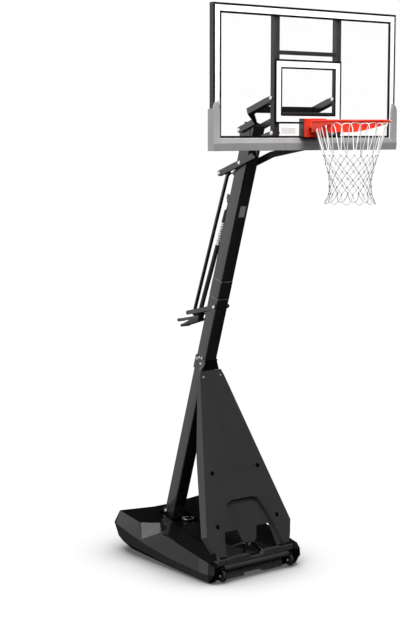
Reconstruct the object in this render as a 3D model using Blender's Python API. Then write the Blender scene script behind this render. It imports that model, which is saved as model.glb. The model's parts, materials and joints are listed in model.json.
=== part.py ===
"""Portable basketball hoop: a ballast base, a leaning pole, a parallelogram lift and a glass board.

Metres, +Z up, +X to the right of someone who stands behind the hoop and looks at the court (-Y).
The origin is on the floor under the middle of the base.
"""

import math

import bmesh
import bpy
from mathutils import Matrix, Vector

GAP = 0.0003  # between pieces that touch
BOLT_R = 0.006
HEAD_R = 0.011
HEAD_T = 0.006

# --- backboard -------------------------------------------------------------------------------
RIM_HEIGHT = 3.048  # top of the ring
BOARD_Y = -1.010  # front face of the glass
BOARD_HALF = 0.762  # a 60 inch board
BOARD_BOTTOM = 2.871
BOARD_TOP = 3.735
GLASS_T = 0.006
FRAME_T = 0.003
FRAME_W = 0.032
FRAME_DEPTH = 0.037
UPRIGHT_IN = 0.236
UPRIGHT_OUT = 0.281
UPRIGHT_FRONT = 0.008  # behind the glass face
UPRIGHT_BACK = 0.040

# --- ring ------------------------------------------------------------------------------------
RING_INNER_R = 0.2286  # 18 inches across inside
RING_BAR_R = 0.008
RING_R = RING_INNER_R + RING_BAR_R
RING_Y = BOARD_Y - 0.1524 - RING_INNER_R  # 6 inches from the board to the ring
RING_Z = RIM_HEIGHT - RING_BAR_R
BOX_HALF = 0.080
BOX_BOTTOM = 2.943
BOX_TOP = 3.059
RIM_HINGE = (0.0, BOARD_Y - 0.046, BOX_BOTTOM + 0.007)

# --- lift: a parallelogram of arms, in the Y, Z plane ------------------------------------------
UPPER_PIVOT = (-0.420, 2.990)
LOWER_PIVOT = (-0.428, 2.776)
ARM_RUN = 0.560
ARM_RISE = 0.193
ARM_LEN = math.hypot(ARM_RUN, ARM_RISE)
ARM_TILT = math.atan2(ARM_RISE, ARM_RUN)
ARM_TAIL = 0.227  # lower arms, from the pole pivot back to the push rod
ARM_HALF = 0.019
ARM_IN = 0.056
ARM_OUT = 0.080
JOG_START = 0.166
JOG_END = 0.350
FORK_WALL = 0.0045
FORK_IN = UPRIGHT_IN - 0.0005 - FORK_WALL
FORK_OUT = UPRIGHT_OUT + 0.0005 + FORK_WALL
FORK_DEPTH = 0.140
EAR_R = 0.014
CROSS_TUBE_AT = 0.385

# --- pole --------------------------------------------------------------------------------------
POLE_SLOPE = 0.318  # forward lean, metres of Y per metre of Z
POLE_Y0 = 0.4695  # where the axis of the pole meets the floor
POLE_TILT = math.atan(POLE_SLOPE)
POLE_HALF = 0.0508  # a 4 inch square tube
POLE_WALL = 0.003
POLE_FOOT = 0.207
COLLAR_LOW = 1.856
COLLAR_HIGH = 1.981
POLE_TOP = 3.022

# --- handle linkage, in the Y, Z plane ----------------------------------------------------------
LINK_PIVOT = (-0.139, 1.791)
LINK_END = (0.158, 1.724)
LOCK_PIVOT = (0.098, 1.714)
ASSIST_PIVOT = (-0.227, 2.513)
LINK_IN = 0.056
LINK_OUT = 0.062
LINK_TIE_AT = 0.135
ROD_R = 0.0125
TUBE_R = 0.016
TUBE_START = 0.068  # below the strut's top pivot
LEVER_PIVOT = (0.076, 1.682)
LEVER_END = (0.262, 1.622)

# --- shield and its braces, in a frame that leans back with them ---------------------------------
SHIELD_SLOPE = 0.413
SHIELD_Y0 = -0.580
SHIELD_TILT = math.atan(SHIELD_SLOPE)
SHIELD_WALL = 0.004
RECESS = 0.028
BRACE_HALF = 0.015
BRACE_FRONT = 0.008

# --- base --------------------------------------------------------------------------------------
WHEEL_X = 0.299
WHEEL_Y = -0.528
WHEEL_R = 0.042
WHEEL_HALF = 0.012
WHEEL_Z = 0.0445
TUBE_Z = 0.092
TROUGH_FLOOR = 0.070
POCKET_FLOOR = 0.185
CAP_AT = (0.053, 0.302, POCKET_FLOOR + 0.0003)

ORIGIN = (0.0, 0.0, 0.0)

LOOKS = {
    "black plastic": ((0.035, 0.035, 0.037), 0.55, 0.0),
    "dark plastic": ((0.070, 0.070, 0.073), 0.50, 0.0),
    "black steel": ((0.030, 0.030, 0.032), 0.38, 0.2),
    "frame steel": ((0.050, 0.050, 0.053), 0.40, 0.2),
    "zinc": ((0.62, 0.62, 0.63), 0.30, 1.0),
    "glass": ((0.85, 0.90, 0.90), 0.02, 0.0),
    "silver pad": ((0.52, 0.53, 0.54), 0.45, 0.1),
    "rim paint": ((0.80, 0.07, 0.025), 0.35, 0.0),
    "net cord": ((0.88, 0.88, 0.86), 0.80, 0.0),
    "tyre": ((0.020, 0.020, 0.022), 0.70, 0.0),
    "grip": ((0.040, 0.040, 0.042), 0.65, 0.0),
}


def finish(name, look):
    """A material of its own for one object."""
    colour, roughness, metallic = LOOKS[look]
    material = bpy.data.materials.new(name + "_finish")
    material.use_nodes = True
    shader = material.node_tree.nodes["Principled BSDF"]
    shader.inputs["Base Color"].default_value = (*colour, 1.0)
    shader.inputs["Roughness"].default_value = roughness
    shader.inputs["Metallic"].default_value = metallic
    if look == "glass":
        shader.inputs["Transmission Weight"].default_value = 0.9
    return material


def add(name, shape, look, at=ORIGIN, tilt=0.0, cutter=False):
    """Turns a bmesh into an object. The mesh is local: it leans by tilt about X, then moves to at."""
    bmesh.ops.recalc_face_normals(shape, faces=shape.faces)
    mesh = bpy.data.meshes.new(name)
    shape.to_mesh(mesh)
    shape.free()
    mesh.shade_smooth()
    mesh.set_sharp_from_angle(angle=math.radians(35))
    piece = bpy.data.objects.new(name, mesh)
    piece.location = at
    piece.rotation_euler.x = tilt
    bpy.context.scene.collection.objects.link(piece)
    if cutter:
        piece.hide_render = True
        piece.display_type = "WIRE"
    else:
        mesh.materials.append(finish(name, look))
    return piece


def combine(piece, shape, operation, at=ORIGIN, tilt=0.0):
    """Cuts a second shape out of a piece, or joins it on."""
    tag = f"{piece.name}_{operation.lower()}_{len(piece.modifiers)}"
    other = add(tag, shape, None, at, tilt, cutter=True)
    modifier = piece.modifiers.new(tag, "BOOLEAN")
    modifier.operation = operation
    modifier.object = other
    modifier.solver = "EXACT"


def cut(piece, shape, at=ORIGIN, tilt=0.0):
    combine(piece, shape, "DIFFERENCE", at, tilt)


def join(piece, shape, at=ORIGIN, tilt=0.0):
    combine(piece, shape, "UNION", at, tilt)


def loft(rings, looped=False):
    """Skins a list of rings of points. The two ends are closed, unless the rings loop."""
    shape = bmesh.new()
    loops = [[shape.verts.new(point) for point in ring] for ring in rings]
    pairs = list(zip(loops, loops[1:]))
    if looped:
        pairs.append((loops[-1], loops[0]))
    for near, far in pairs:
        for i in range(len(near)):
            j = (i + 1) % len(near)
            shape.faces.new((near[i], near[j], far[j], far[i]))
    if not looped:
        shape.faces.new(loops[0])
        shape.faces.new(loops[-1])
    return shape


def prism(outline, axis, low, high):
    """An outline in the plane across axis, drawn out from low to high along it."""
    place = {
        "X": lambda p, t: (t, p[0], p[1]),
        "Y": lambda p, t: (p[0], t, p[1]),
        "Z": lambda p, t: (p[0], p[1], t),
    }[axis]
    return loft([[place(p, low) for p in outline], [place(p, high) for p in outline]])


def box(low, high):
    corners = [(low[0], low[1]), (high[0], low[1]), (high[0], high[1]), (low[0], high[1])]
    return prism(corners, "Z", low[2], high[2])


def circle(centre, radius, count=24):
    turn = 2 * math.pi / count
    return [
        (centre[0] + radius * math.cos(turn * i), centre[1] + radius * math.sin(turn * i))
        for i in range(count)
    ]


def rod(axis, centre, radius, low, high, count=24):
    return prism(circle(centre, radius, count), axis, low, high)


def profile_pin(x_ends, centre, radii, count=20):
    """A pin along X with steps: x_ends and radii list the ends and radius of each step in turn."""
    rings = []
    for (low, high), radius in zip(x_ends, radii):
        for x in (low, high):
            rings.append([(x, y, z) for y, z in circle(centre, radius, count)])
    return loft(rings)


def bolt_through(name, half, at, look="zinc", head=HEAD_R):
    """A bolt along X with a head at one end and a nut at the other, each outside +-half."""
    out = half + HEAD_T
    ends = [(-out, -half), (-half, half), (half, out)]
    return add(name, profile_pin(ends, (0, 0), (head, BOLT_R, head)), look, at)


def merge(shapes):
    """One bmesh that holds several shapes which don't touch."""
    whole = bmesh.new()
    for shape in shapes:
        copies = {vert: whole.verts.new(vert.co) for vert in shape.verts}
        for face in shape.faces:
            whole.faces.new([copies[vert] for vert in face.verts])
        shape.free()
    return whole


def bores(points, radius, low, high):
    """Cutters for holes along X, all of one radius."""
    return [rod("X", point, radius, low, high) for point in points]


def hole(piece, axis_point, radius, low, high, at=ORIGIN, tilt=0.0):
    cut(piece, rod("X", axis_point, radius, low, high), at, tilt)


def square_tube(low, high, half, wall):
    """An open square tube along local Z."""
    outer = [(-half, -half), (half, -half), (half, half), (-half, half)]
    inner = [(x * (half - wall) / half, y * (half - wall) / half) for x, y in outer]
    rings = [
        [(x, y, low) for x, y in outer],
        [(x, y, high) for x, y in outer],
        [(x, y, high) for x, y in inner],
        [(x, y, low) for x, y in inner],
    ]
    return loft(rings, looped=True)


def hang(axis_name, at, *starts):
    """Parents the pieces whose names start so to an empty on their joint's axis."""
    mark = bpy.data.objects.new(axis_name, None)
    mark.location = at
    mark.empty_display_size = 0.05
    bpy.context.scene.collection.objects.link(mark)
    for piece in list(bpy.data.objects):
        if piece.type == "MESH" and piece.name.startswith(starts):
            piece.parent = mark
            piece.matrix_parent_inverse = Matrix.Translation(-Vector(at))


def mirrored(outline, side):
    return [(side * x, *rest) for x, *rest in outline]


SIDES = (("left", -1), ("right", 1))


# ---------------------------------------------------------------------------------------- base
HULL = (
    # y, floor z, floor half, lower edge x z, crease x z, top edge x z, trough edge z
    (-0.548, 0.052, 0.362, 0.366, 0.054, 0.382, 0.066, 0.377, 0.118, 0.100),
    (-0.500, 0.000, 0.378, 0.392, 0.010, 0.398, 0.062, 0.394, 0.142, 0.122),
    (-0.406, 0.000, 0.378, 0.396, 0.014, 0.402, 0.062, 0.398, 0.160, 0.134),
    (-0.084, 0.000, 0.366, 0.398, 0.024, 0.407, 0.080, 0.400, 0.217, 0.172),
    (0.160, 0.000, 0.348, 0.399, 0.044, 0.411, 0.110, 0.400, 0.247, 0.202),
    (0.300, 0.000, 0.338, 0.400, 0.056, 0.415, 0.138, 0.397, 0.257, 0.218),
    (0.470, 0.000, 0.322, 0.402, 0.072, 0.419, 0.176, 0.392, 0.277, 0.238),
    (0.530, 0.050, 0.312, 0.400, 0.100, 0.418, 0.190, 0.388, 0.283, 0.262),
    (0.580, 0.120, 0.300, 0.384, 0.140, 0.402, 0.190, 0.376, 0.216, 0.212),
)
RIM_LIP = 0.014
FRONT_Y = -0.500
NOSE_HALF = 0.336  # between the two noses, which stand out past the front wall
TROUGH = ((-0.470, TROUGH_FLOOR), (0.020, TROUGH_FLOOR), (0.200, POCKET_FLOOR), (0.474, POCKET_FLOOR))


def trough_half(y):
    """Half the width of the trough that runs from the front of the base to the foot of the pole."""
    return 0.095 + 0.142 * (0.481 - y)


def hull_ring(row):
    y, low, floor, edge_x, edge_z, crease_x, crease_z, top_x, top_z, inner_z = row
    inner_x = trough_half(y)
    half = [
        (floor, low),
        (edge_x, edge_z),
        (crease_x, crease_z),
        (top_x, top_z),
        (top_x - RIM_LIP, top_z),
        (inner_x, inner_z),
    ]
    ring = [(x, y, z) for x, z in half] + [(-x, y, z) for x, z in reversed(half)]
    return ring


def hand_notch(side):
    """The hand hold in the side wall: wide at the skin, closing inwards and open above."""
    skin = [(-0.165, 0.331), (0.044, 0.182), (0.229, 0.143), (0.277, 0.331)]
    inside = [(0.050, 0.331), (0.216, 0.162), (0.232, 0.158), (0.262, 0.331)]
    return loft([[(side * 0.440, y, z) for y, z in skin], [(side * 0.240, y, z) for y, z in inside]])


def build_base():
    base = add("base_tank", loft([hull_ring(row) for row in HULL]), "black plastic")
    rings = []
    for y, floor in TROUGH:
        top = trough_half(y)
        foot = top - 0.15 * (0.30 - floor)
        rings.append([(-foot, y, floor), (foot, y, floor), (top, y, 0.30), (-top, y, 0.30)])
    cut(base, loft(rings))
    for _, side in SIDES:
        cut(base, hand_notch(side))
    nose = [(NOSE_HALF, -0.60), (NOSE_HALF, -0.478), (0.2565, -0.478), (0.2565, FRONT_Y)]
    outline = nose + [(-x, y) for x, y in reversed(nose)]
    cut(base, prism(outline, "Z", -0.05, 0.30))
    cut(base, box((-0.082, -0.520, -0.02), (0.082, -0.452, 0.022)))
    cut(base, rod("Z", CAP_AT[:2], 0.0285, POCKET_FLOOR - 0.040, 0.30))


def build_base_front():
    top = [(0.255, 0.112), (0.255, 0.143), (0.217, 0.155), (0.067, 0.155), (0.049, 0.128)]
    outline = top + [(-x, z) for x, z in reversed(top)]
    add("front_bumper", prism(outline, "Y", -0.534, -0.5004), "dark plastic")
    tube = rod("X", (WHEEL_Y, TUBE_Z), 0.0192, -0.2812, 0.2812)
    add("axle_tube", tube, "dark plastic")
    cap = add("filler_cap", rod("Z", (0, 0), 0.045, 0.0, 0.016, 28), "black plastic", CAP_AT)
    join(cap, rod("Z", (0, 0), 0.027, -0.030, 0.002, 28), CAP_AT)
    join(cap, box((-0.034, -0.006, 0.012), (0.034, 0.006, 0.028)), CAP_AT)
    for name, side in SIDES:
        axle_at = (side * WHEEL_X, WHEEL_Y, WHEEL_Z)
        tyre = loft(
            [
                [(x, y, z) for y, z in circle((0, 0), radius, 28)]
                for x, radius in (
                    (-WHEEL_HALF, WHEEL_R - 0.005),
                    (-WHEEL_HALF + 0.004, WHEEL_R),
                    (WHEEL_HALF - 0.004, WHEEL_R),
                    (WHEEL_HALF, WHEEL_R - 0.005),
                )
            ]
        )
        wheel = add(f"wheel_{name}", tyre, "tyre", axle_at)
        hole(wheel, (0, 0), BOLT_R + GAP, -0.03, 0.03, axle_at)
        fork = add(
            f"wheel_fork_{name}",
            box((-0.0175, -0.018, -0.018), (0.0175, 0.030, 0.0552)),
            "black steel",
            axle_at,
        )
        cut(fork, box((-0.0140, -0.060, -0.060), (0.0140, 0.0601, 0.0480)), axle_at)
        hole(fork, (0, 0), BOLT_R + GAP, -0.03, 0.03, axle_at)
        bolt_through(f"wheel_axle_{name}", 0.0178, axle_at, head=0.010)


# -------------------------------------------------------------------------------- shield, braces
def brace_x(height):
    """Distance of a brace from the middle: the two spread towards the floor."""
    return 0.078 + 0.187 * (1.296 - height)


def along(height):
    """Distance up the leaning shield that reaches a height."""
    return height / math.cos(SHIELD_TILT)


SHIELD_AT = (0.0, SHIELD_Y0, 0.0)
SHIELD_LEAN = -SHIELD_TILT
SHIELD_ROWS = (
    # height, half width, depth of the side flanges
    (0.165, 0.313, 0.050),
    (0.218, 0.338, 0.055),
    (0.304, 0.371, 0.064),
    (0.635, 0.283, 0.077),
    (0.805, 0.237, 0.083),
    (1.299, 0.105, 0.033),
    (1.335, 0.090, 0.030),
)
ARCH = ((0.262, 0.200), (0.226, 0.305), (0.185, 0.406), (0.140, 0.486), (0.100, 0.504))
ARCH_MOUTH = 0.330


def shield_body(inset, front, extra):
    rings = []
    for height, half, depth in SHIELD_ROWS:
        x = half - inset
        rings.append([(-x, front), (x, front), (x, depth + extra), (-x, depth + extra)])
    heights = [along(row[0]) for row in SHIELD_ROWS]
    heights[0] -= extra
    heights[-1] -= inset
    return loft([[(x, y, z) for x, y in ring] for ring, z in zip(rings, heights)])


def arch_cut(grow, front, back):
    """The sunk arch: its walls slope inwards with depth."""
    rings = []
    for depth, inset in ((front, -grow), (back, 0.014 - grow)):
        right = [(ARCH_MOUTH - inset, 0.060)]
        right += [(x - inset, along(z) - 1.3 * inset) for x, z in ARCH]
        outline = right + [(-x, z) for x, z in reversed(right)]
        rings.append([(x, depth, z) for x, z in outline])
    return loft(rings)


def build_shield():
    shield = add("shield", shield_body(0.0, 0.0, 0.0), "dark plastic", SHIELD_AT, SHIELD_LEAN)
    hollow = add(
        "shield_hollow",
        shield_body(SHIELD_WALL, SHIELD_WALL, 0.05),
        None,
        SHIELD_AT,
        SHIELD_LEAN,
        cutter=True,
    )
    cut(hollow, arch_cut(SHIELD_WALL, -0.02, RECESS + SHIELD_WALL), SHIELD_AT, SHIELD_LEAN)
    modifier = shield.modifiers.new("hollow", "BOOLEAN")
    modifier.object = hollow
    modifier.solver = "EXACT"
    cut(shield, arch_cut(0.0, -0.02, RECESS), SHIELD_AT, SHIELD_LEAN)
    half = [(0.228, 0.130), (0.215, 0.191), (0.205, 0.262), (0.193, 0.311)]
    half += [(0.085, 0.311), (0.059, 0.231), (0.033, 0.222)]
    outline = [(x, along(z)) for x, z in half + [(-x, z) for x, z in reversed(half)]]
    opening = prism(outline, "Y", 0.010, 0.060)
    pole_room = box((-0.084, 0.012, along(1.27)), (0.084, 0.080, along(1.40)))
    cut(shield, merge([opening, pole_room]), SHIELD_AT, SHIELD_LEAN)


def build_braces():
    depth = 2 * BRACE_HALF
    for name, side in SIDES:
        rings = []
        for height, level in ((0.1403, 1.0), (1.318, 0.0)):
            x = side * brace_x(height)
            ring = []
            for dx, y in ((-1, 0.0), (1, 0.0), (1, depth), (-1, depth)):
                y += BRACE_FRONT
                z = along(height) + level * y * math.tan(SHIELD_TILT)
                ring.append((x + dx * BRACE_HALF, y, z))
            rings.append(ring)
        add(f"front_brace_{name}", loft(rings), "black steel", SHIELD_AT, SHIELD_LEAN)
        x = side * WHEEL_X
        outline = [(-0.508, 0.100), (-0.4785, 0.100), (-0.4785, 0.140), (-0.514, 0.140)]
        outline += [(-0.518, 0.152), (-0.526, 0.152), (-0.530, 0.144), (-0.530, 0.1118), (-0.508, 0.1118)]
        bracket = prism(outline, "X", x - 0.034, x + 0.034)
        add(f"brace_bracket_{name}", bracket, "dark plastic")
    clamp_at = (0.0, POLE_Y0 - POLE_SLOPE * 1.375, 1.375)
    clamp = add(
        "pole_bracket",
        square_tube(-0.046, 0.052, POLE_HALF + GAP + 0.004, 0.004),
        "black steel",
        clamp_at,
        POLE_TILT,
    )
    gusset = [(0.0525, -0.025), (0.082, -0.025), (0.0525, 0.034)]
    for _, side in SIDES:
        low, high = -POLE_HALF - 0.010, -POLE_HALF + 0.014
        join(clamp, prism(mirrored(gusset, side), "Y", low, high), clamp_at, POLE_TILT)


# ------------------------------------------------------------------------------------------ pole
def pole_axis(height):
    return (0.0, POLE_Y0 - POLE_SLOPE * height, height)


def pole_length(low, high):
    return (high - low) / math.cos(POLE_TILT)


def pole_section(name, low, high, half=POLE_HALF):
    tube = square_tube(0.0, pole_length(low, high) - GAP, half, POLE_WALL)
    return add(name, tube, "black steel", pole_axis(low), POLE_TILT)


def build_pole():
    lower = pole_section("pole_lower", POLE_FOOT, COLLAR_LOW)
    pole_section("pole_collar", COLLAR_LOW, COLLAR_HIGH, POLE_HALF + 0.0008)
    upper = pole_section("pole_upper", COLLAR_HIGH, POLE_TOP)
    cap = box((-POLE_HALF - 0.001, -POLE_HALF - 0.001, 0.0), (POLE_HALF + 0.001, POLE_HALF + 0.001, 0.006))
    add("pole_cap", cap, "black plastic", pole_axis(POLE_TOP), POLE_TILT)
    clear = BOLT_R + GAP
    hole(lower, LINK_PIVOT, clear, -0.1, 0.1)
    hole(upper, LOWER_PIVOT, clear, -0.1, 0.1)
    bolt_through("link_pivot_bolt", LINK_OUT + GAP, (0.0, *LINK_PIVOT))
    bolt_through("lower_pivot_bolt", ARM_OUT + GAP, (0.0, *LOWER_PIVOT))
    bolt_through("upper_pivot_bolt", ARM_OUT + GAP, (0.0, *UPPER_PIVOT))
    build_pole_head()
    foot_bolt = (0.425, 0.250)
    hole(lower, foot_bolt, clear, -0.1, 0.1)
    foot = [(0.366, POCKET_FLOOR + GAP), (0.470, POCKET_FLOOR + GAP)]
    foot += [(0.470, 0.230), (0.446, 0.276), (0.396, 0.276), (0.366, 0.220)]
    inner = POLE_HALF + GAP
    bracket = add("pole_foot_bracket", prism(foot, "X", -inner - 0.004, inner + 0.004), "black steel")
    cut(bracket, box((-inner, 0.30, POCKET_FLOOR + 0.0043), (inner, 0.50, 0.30)))
    hole(bracket, foot_bolt, clear, -0.1, 0.1)
    bolt_through("pole_foot_bolt", inner + 0.004 + GAP, (0.0, *foot_bolt))
    stand_off = add("assist_bracket", box((-0.020, -0.012, -0.030), (0.020, 0.0, 0.030)), "black steel")
    reach = POLE_Y0 - POLE_SLOPE * ASSIST_PIVOT[1]
    stand_off.location = (0.0, reach, ASSIST_PIVOT[1])
    stand_off.rotation_euler.x = POLE_TILT
    shift_bracket(stand_off)


def build_pole_head():
    """Two cheeks on the sides of the pole carry the upper pivot behind it."""
    outline = [(-0.508, 2.925), (-0.402, 2.925), (-0.398, 2.985)]
    outline += [(-0.404, 3.005), (-0.420, 3.010), (-0.500, 3.010)]
    low = POLE_HALF + GAP
    rings = [[(x, y, z) for y, z in outline] for x in (low, low + 0.004)]
    left = [[(-x, y, z) for y, z in outline] for x in (low, low + 0.004)]
    head = add("pole_head_bracket", loft(rings), "black steel")
    join(head, loft(left))
    join(head, box((-low - 0.002, -0.4080, 2.930), (low + 0.002, -0.4035, 2.944)))
    hole(head, UPPER_PIVOT, BOLT_R + GAP, -0.1, 0.1)


def shift_bracket(piece):
    """Moves the gas strut's bracket from the axis of the pole to its back face."""
    back = Matrix.Rotation(POLE_TILT, 4, "X") @ Vector((0, POLE_HALF + GAP + 0.012, 0))
    piece.location = piece.location + back
    ears = []
    for side in (-1, 1):
        near, far = sorted((side * 0.0125, side * 0.0165))
        ears.append(box((near, -0.006, -0.020), (far, 0.050, 0.020)))
    for ear in ears:
        join(piece, ear, tuple(piece.location), POLE_TILT)


# ------------------------------------------------------------------------------------------- lift
def arm_shape(side, tail):
    """An arm in its own frame: local -Y runs forward and up, from the pole to the board."""
    rear = [(x, tail) for x in (ARM_IN, ARM_OUT)]
    turns = [math.radians(a) for a in (15, 40, 65, 90)]
    rows = [
        (rear[0][1] + ARM_HALF * math.cos(a), ARM_IN, ARM_OUT, ARM_HALF * math.sin(a)) for a in turns
    ]
    rows.append((-JOG_START, ARM_IN, ARM_OUT, ARM_HALF))
    rows.append((-JOG_END, FORK_IN, FORK_OUT, ARM_HALF))
    rows.append((-ARM_LEN + 0.050, FORK_IN, FORK_OUT, ARM_HALF))
    rows += [
        (-ARM_LEN - EAR_R * math.cos(a), FORK_IN, FORK_OUT, EAR_R * math.sin(a))
        for a in reversed(turns)
    ]
    rings = []
    for y, near, far, half in rows:
        corners = [(near, -half), (far, -half), (far, half), (near, half)]
        rings.append([(side * x, y, z) for x, z in corners])
    return loft(rings)


def build_arms(level, pivot, tail):
    at = (0.0, *pivot)
    clear = BOLT_R + GAP
    for name, side in SIDES:
        arm = add(f"{level}_arm_{name}", arm_shape(side, tail), "black steel", at, -ARM_TILT)
        near, far = sorted((side * (FORK_IN + FORK_WALL), side * (FORK_OUT - FORK_WALL)))
        slot_back = -ARM_LEN + FORK_DEPTH
        cut(arm, box((near, -ARM_LEN - 0.03, -0.03), (far, slot_back, 0.03)), at, -ARM_TILT)
        low, high = sorted((side * 0.03, side * 0.10))
        cutters = bores({(0, 0), (tail, 0)}, clear, low, high)
        low, high = sorted((side * 0.20, side * 0.30))
        cutters += bores([(-ARM_LEN, 0)], clear, low, high)
        cut(arm, merge(cutters), at, -ARM_TILT)


def build_lift():
    build_arms("upper", UPPER_PIVOT, 0.0)
    build_arms("lower", LOWER_PIVOT, ARM_TAIL)
    reach = FORK_IN - GAP
    tube = box((-reach, -CROSS_TUBE_AT - 0.0125, -ARM_HALF), (reach, -CROSS_TUBE_AT + 0.0125, ARM_HALF))
    add("upper_cross_tube", tube, "black steel", (0.0, *UPPER_PIVOT), -ARM_TILT)
    pin_at = lift_point(LOWER_PIVOT, -ARM_TAIL)
    bolt_through("push_rod_pin", ARM_OUT + GAP, (0.0, *pin_at))


def lift_point(pivot, distance):
    """The point this far forward along an arm from its pole pivot."""
    return (
        pivot[0] - distance * math.cos(ARM_TILT),
        pivot[1] + distance * math.sin(ARM_TILT),
    )


# ----------------------------------------------------------------------------------------- linkage
def lean_between(top, bottom):
    return math.atan2(bottom[0] - top[0], top[1] - bottom[1])


def build_push_rod():
    top = lift_point(LOWER_PIVOT, -ARM_TAIL)
    at = (0.0, *top)
    length = math.dist(top, LINK_END)
    tilt = lean_between(top, LINK_END)
    rod_piece = add("push_rod", rod("Z", (0, 0), ROD_R, -length + 0.010, -0.010), "black steel", at, tilt)
    join(rod_piece, rod("X", (0, 0), 0.017, -0.012, 0.012), at, tilt)
    join(rod_piece, rod("X", (0, -length), 0.017, -0.012, 0.012), at, tilt)
    hole(rod_piece, (0, 0), BOLT_R + GAP, -0.03, 0.03, at, tilt)


def build_handle_link():
    """Two bars beside the pole, tied behind it. Their pins meet the push rod's eye from each side."""
    at = (0.0, *LINK_PIVOT)
    length = math.dist(LINK_PIVOT, LINK_END)
    tilt = math.atan2(LINK_END[1] - LINK_PIVOT[1], LINK_END[0] - LINK_PIVOT[0])
    ends = [math.radians(a) for a in (90, 60, 30, 0, -30, -60, -90)]
    half = 0.015
    outline = [(length + half * math.cos(a), half * math.sin(a)) for a in ends]
    outline += [(-half * math.cos(a), -half * math.sin(a)) for a in ends]
    link = add("handle_link", prism(outline, "X", LINK_IN, LINK_OUT), "black steel", at, tilt)
    join(link, prism(outline, "X", -LINK_OUT, -LINK_IN), at, tilt)
    reach = LINK_IN + 0.002
    join(link, rod("X", (LINK_TIE_AT, 0), 0.006, -reach, reach), at, tilt)
    for _, side in SIDES:
        near, far = sorted((side * 0.0125, side * reach))
        join(link, rod("X", (length, 0), 0.006, near, far), at, tilt)
    hole(link, (0, 0), BOLT_R + GAP, -0.1, 0.1, at, tilt)


def build_lock():
    """The squeeze lock: two plates that the lift tube passes between, with the fixed hand loop."""
    at = (0.0, *LOCK_PIVOT)
    tilt = lean_between(ASSIST_PIVOT, LOCK_PIVOT)
    plate = [(-0.022, -0.044), (0.000, -0.044), (0.022, -0.022), (0.022, 0.018), (-0.022, 0.018)]
    lock = add("lock_housing", prism(plate, "X", 0.020, 0.026), "black steel", at, tilt)
    join(lock, prism(plate, "X", -0.026, -0.020), at, tilt)
    for _, side in SIDES:
        near, far = sorted((side * 0.025, side * (LINK_IN - 0.0005)))
        join(lock, rod("X", (0, 0), BOLT_R, near, far), at, tilt)
        near, far = sorted((side * 0.0205, side * 0.0275))
        bar = [(0.100, 1.688), (0.118, 1.703), (0.306, 1.664), (0.306, 1.646), (0.118, 1.680)]
        join(lock, prism(bar, "X", near, far))
    join(lock, rod("X", (0.306, 1.655), 0.011, -0.030, 0.030))


def build_squeeze_lever():
    at = (0.0, *LEVER_PIVOT)
    run = LEVER_END[0] - LEVER_PIVOT[0]
    fall = LEVER_END[1] - LEVER_PIVOT[1]
    bar = [(-0.010, 0.006), (0.070, -0.002), (run, fall + 0.007), (run, fall - 0.007), (0.0, -0.011)]
    lever = add("squeeze_lever", prism(bar, "X", 0.0285, 0.0345), "grip", at)
    join(lever, prism(bar, "X", -0.0345, -0.0285), at)
    join(lever, rod("X", (run, fall), 0.010, -0.036, 0.036), at)


def build_assist_tube():
    at = (0.0, *ASSIST_PIVOT)
    tilt = lean_between(ASSIST_PIVOT, LOCK_PIVOT)
    length = math.dist(ASSIST_PIVOT, LOCK_PIVOT)
    thin = add("assist_rod", rod("Z", (0, 0), 0.007, -TUBE_START, -0.006, 16), "black steel", at, tilt)
    join(thin, rod("X", (0, 0), 0.012, -0.012, 0.012), at, tilt)
    tube = rod("Z", (0, 0), TUBE_R, -length - 0.050, -TUBE_START - GAP, 20)
    add("assist_tube", tube, "frame steel", at, tilt)


# ------------------------------------------------------------------------------------------- board
def build_frame():
    """Four mitred L-shaped rails round the glass."""
    back = BOARD_Y + FRAME_DEPTH
    glass_back = BOARD_Y + GLASS_T + GAP
    low, high = BOARD_BOTTOM, BOARD_TOP
    middle = (low + high) / 2
    tall = (high - low) / 2
    rows = ((BOARD_Y, 0.0), (back, 0.0), (back, FRAME_W), (glass_back, FRAME_W))
    rows += ((glass_back, FRAME_T), (BOARD_Y, FRAME_T))
    for name, side in (("bottom", -1), ("top", 1)):
        rings = []
        for end in (-1, 1):
            ring = []
            for y, inset in rows:
                x = end * (BOARD_HALF - inset - GAP)
                ring.append((x, y, middle + side * (tall - inset)))
            rings.append(ring)
        add(f"board_frame_{name}", loft(rings), "frame steel")
    for name, side in SIDES:
        rings = []
        for end in (-1, 1):
            ring = []
            for y, inset in rows:
                z = middle + end * (tall - inset - GAP)
                ring.append((side * (BOARD_HALF - inset), y, z))
            rings.append(ring)
        add(f"board_frame_{name}", loft(rings), "frame steel")


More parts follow.
